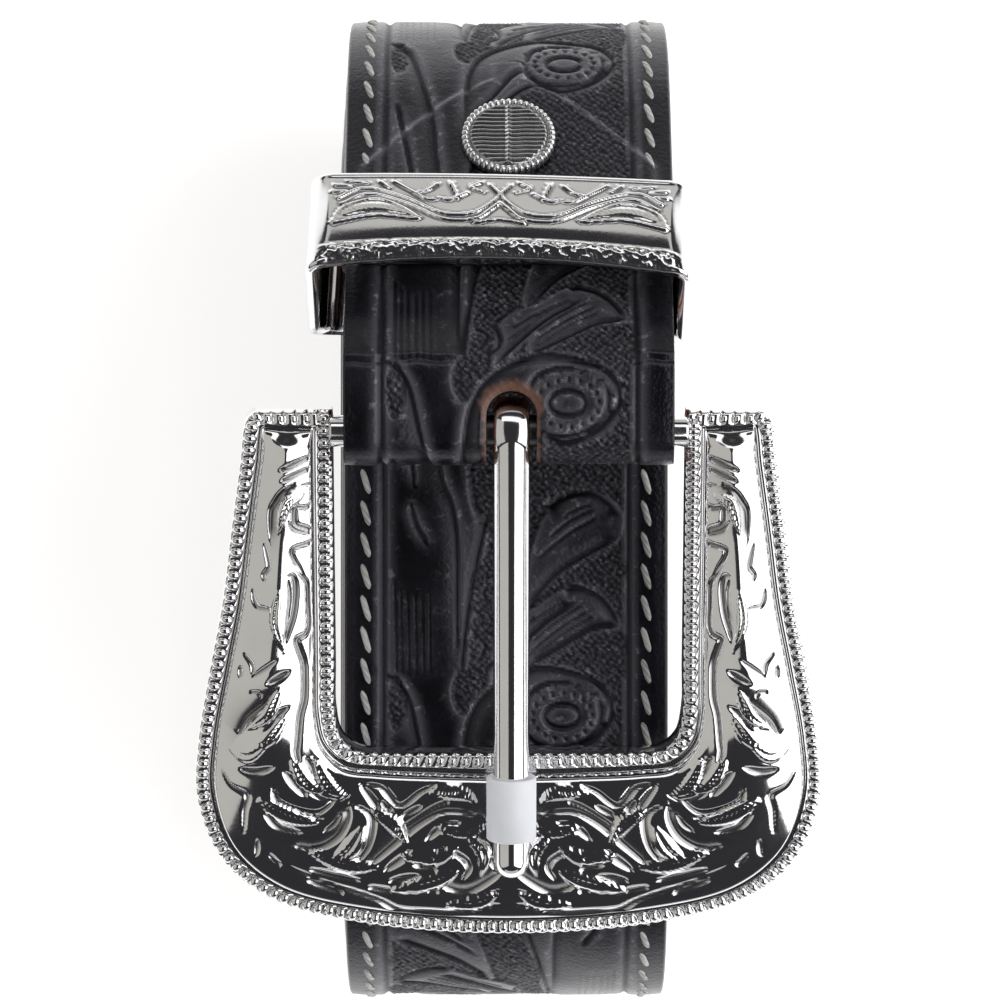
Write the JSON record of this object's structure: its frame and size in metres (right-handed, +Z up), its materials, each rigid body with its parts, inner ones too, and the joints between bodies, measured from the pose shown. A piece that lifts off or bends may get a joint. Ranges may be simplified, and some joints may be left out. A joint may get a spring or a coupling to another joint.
{
  "type": "western tooled belt",
  "caption": "Rolled western tooled leather belt with a bell-shaped engraved metal buckle, a metal keeper loop and a snap.",
  "frame": {"origin": "centre of the bounding box at its lowest level, on the surface that the rolled belt lies on", "axes": "+X across the strap, +Y along the roll from the buckle's lower edge towards its bar and keeper, +Z up, out of the buckle's face"},
  "size_m": [0.0728, 0.1186, 0.0701],
  "materials": {
    "tooled_leather": "black tooled leather with a soft sheen",
    "lining_leather": "dark brown lining and edges",
    "bright_metal": "polished plating with darkened engraving",
    "clear_sleeve": "milky film sleeve",
    "stitch_thread": "light grey waxed thread"
  },
  "bodies": {
    "strap": {"strap_face": "tooled_leather", "strap_lining": "lining_leather", "snap_cap": "bright_metal", "snap_base": "bright_metal"},
    "buckle": {"buckle_frame": "bright_metal"},
    "prong": {"prong": "bright_metal", "prong_sleeve": "clear_sleeve"},
    "keeper": {"keeper": "bright_metal"}
  },
  "joints": [
    {"name": "buckle_swing", "type": "hinge", "parent": "strap", "child": "buckle", "pos_m": [0, 0.0089, 0.06533], "axis": [-1, 0, 0], "range_deg": [0, 45]},
    {"name": "prong_lift", "type": "hinge", "parent": "buckle", "child": "prong", "pos_m": [0, 0.0089, 0.06533], "axis": [-1, 0, 0], "range_deg": [0, 50]},
    {"name": "keeper_slide", "type": "slide", "parent": "strap", "child": "keeper", "axis": [0, -0.8192, 0.5736], "range_m": [-0.0024, 0.0031]}
  ]
}
